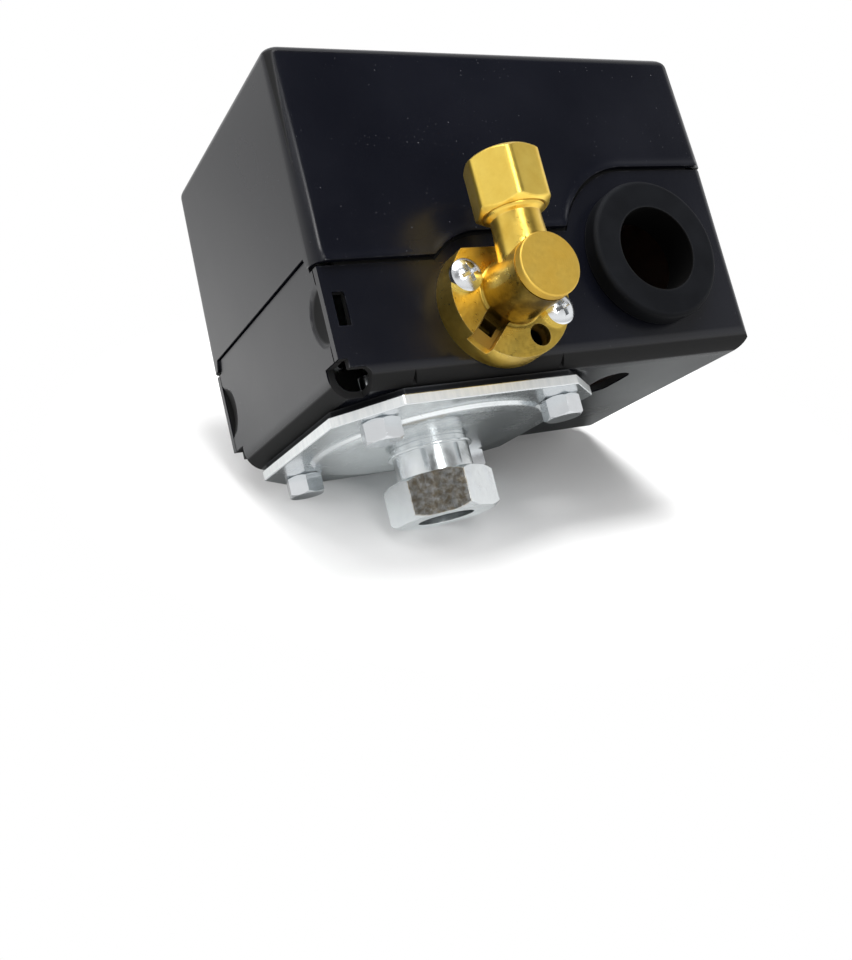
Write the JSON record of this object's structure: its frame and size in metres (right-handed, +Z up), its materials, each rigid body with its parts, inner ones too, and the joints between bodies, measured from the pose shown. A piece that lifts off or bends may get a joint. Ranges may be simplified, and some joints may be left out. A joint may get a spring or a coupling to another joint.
{
  "type": "pressure switch",
  "caption": "Sheet steel pressure switch box on a square diaphragm flange with a hex pipe port, a brass unloader valve, rubber cable grommets and adjustable contacts inside.",
  "frame": {"origin": "the pressure port's axis at the lower face of the hex port bushing", "axes": "+Z up along the port's axis into the box, -Y out of the front wall that carries the valve, +X towards the grommets"},
  "size_m": [0.0929, 0.0817, 0.0871],
  "materials": {
    "black_steel": "semi-gloss black enamel on sheet steel",
    "zinc_flange": "bright zinc plating on pressed steel",
    "zinc_port": "bright zinc plating on a turned hexagon",
    "zinc_screws": "bright zinc plating",
    "zinc_inside": "zinc plating",
    "spring_steel": "drawn spring wire",
    "rubber": "matt black moulded rubber",
    "brown_moulding": "phenolic moulding",
    "copper": "punched copper",
    "brass_screws": "turned brass",
    "green_screws": "green passivated steel",
    "brass_body": "machined brass",
    "brass_plug": "turned brass",
    "brass_nut": "machined brass",
    "brass_sleeve": "turned brass"
  },
  "bodies": {
    "housing": {"base_housing": "black_steel", "cover_post": "zinc_inside", "grommet_front": "rubber", "grommet_rear": "rubber", "diaphragm": "rubber", "diaphragm_flange": "zinc_flange", "port_bushing": "zinc_port", "flange_screws": "zinc_screws", "frame_bracket": "zinc_inside", "lever_pin": "spring_steel", "contact_block": "brown_moulding", "block_screws": "zinc_screws", "fixed_contacts": "copper", "terminal_clamps": "zinc_inside", "terminal_screws": "brass_screws", "ground_screws": "green_screws", "rocker_pin": "spring_steel", "valve_body": "brass_body", "valve_plug": "brass_plug", "valve_spring": "spring_steel", "valve_screws": "zinc_screws"},
    "cover": {"cover": "black_steel", "cover_screw": "zinc_screws"},
    "lever": {"lever": "zinc_inside", "snap_spring": "spring_steel"},
    "piston": {"piston": "zinc_inside"},
    "carrier": {"contact_carrier": "brown_moulding", "moving_contacts": "copper", "contact_springs": "spring_steel"},
    "rocker": {"rocker": "zinc_inside"},
    "valve_pin": {"valve_pin": "brass_screws"},
    "range_seat": {"range_seat": "zinc_inside", "range_spring": "spring_steel"},
    "range_screw": {"range_screw": "zinc_inside"},
    "differential_seat": {"differential_seat": "zinc_inside", "differential_spring": "spring_steel"},
    "differential_screw": {"differential_screw": "zinc_inside"},
    "compression_sleeve": {"compression_sleeve": "brass_sleeve"},
    "compression_nut": {"compression_nut": "brass_nut"}
  },
  "joints": [
    {"name": "cover_lift", "type": "slide", "parent": "housing", "child": "cover", "axis": [0, 0, 1], "range_m": [0, 0.06]},
    {"name": "lever_pivot", "type": "hinge", "parent": "housing", "child": "lever", "pos_m": [-0.0202, 0, 0.03], "axis": [0, -1, 0], "range_deg": [0, 2.5], "stiffness_Nm_per_rad": 0.5, "springref_deg": -2.86, "deforming": ["snap_spring"]},
    {"name": "piston_slide", "type": "slide", "parent": "housing", "child": "piston", "axis": [0, 0, 1], "range_m": [0, 0.0009]},
    {"name": "carrier_slide", "type": "slide", "parent": "housing", "child": "carrier", "axis": [0, 0, 1], "range_m": [0, 0.0031]},
    {"name": "rocker_pivot", "type": "hinge", "parent": "housing", "child": "rocker", "pos_m": [0.00415, -0.0182, 0.0265], "axis": [1, 0, 0], "range_deg": [0, 7]},
    {"name": "valve_pin_slide", "type": "slide", "parent": "housing", "child": "valve_pin", "axis": [0, -1, 0], "range_m": [0, 0.0008], "deforming": ["valve_spring"]},
    {"name": "range_seat_slide", "type": "slide", "parent": "housing", "child": "range_seat", "axis": [0, 0, 1], "range_m": [-0.0025, 0.0025], "deforming": ["range_spring"]},
    {"name": "range_screw_turn", "type": "hinge", "parent": "range_seat", "child": "range_screw", "pos_m": [0, 0, 0.0645], "axis": [0, 0, 1], "range_deg": [-750, 750]},
    {"name": "differential_seat_slide", "type": "slide", "parent": "housing", "child": "differential_seat", "axis": [0, 0, 1], "range_m": [-0.0024, 0.0024], "deforming": ["differential_spring"]},
    {"name": "differential_screw_turn", "type": "hinge", "parent": "differential_seat", "child": "differential_screw", "pos_m": [0.0238, 0, 0.0645], "axis": [0, 0, 1], "range_deg": [-1120, 1120]},
    {"name": "compression_sleeve_slide", "type": "slide", "parent": "housing", "child": "compression_sleeve", "axis": [0, 0, 1], "range_m": [0, 0.00635]},
    {"name": "compression_nut_turn", "type": "hinge", "parent": "compression_sleeve", "child": "compression_nut", "pos_m": [0.00415, -0.0418, 0.0535], "axis": [0, 0, 1], "range_deg": [0, 2190]}
  ],
  "couplings": [
    {"joint": "piston_slide", "follows": "lever_pivot", "m_per_rad": 0.0202},
    {"joint": "carrier_slide", "follows": "lever_pivot", "m_per_rad": 0.069},
    {"joint": "rocker_pivot", "follows": "lever_pivot", "ratio": 2.6},
    {"joint": "valve_pin_slide", "follows": "lever_pivot", "m_per_rad": 0.0162},
    {"joint": "range_screw_turn", "follows": "range_seat_slide", "rad_per_m": 5026.5},
    {"joint": "differential_screw_turn", "follows": "differential_seat_slide", "rad_per_m": 7854},
    {"joint": "compression_nut_turn", "follows": "compression_sleeve_slide", "rad_per_m": 5938.7}
  ]
}
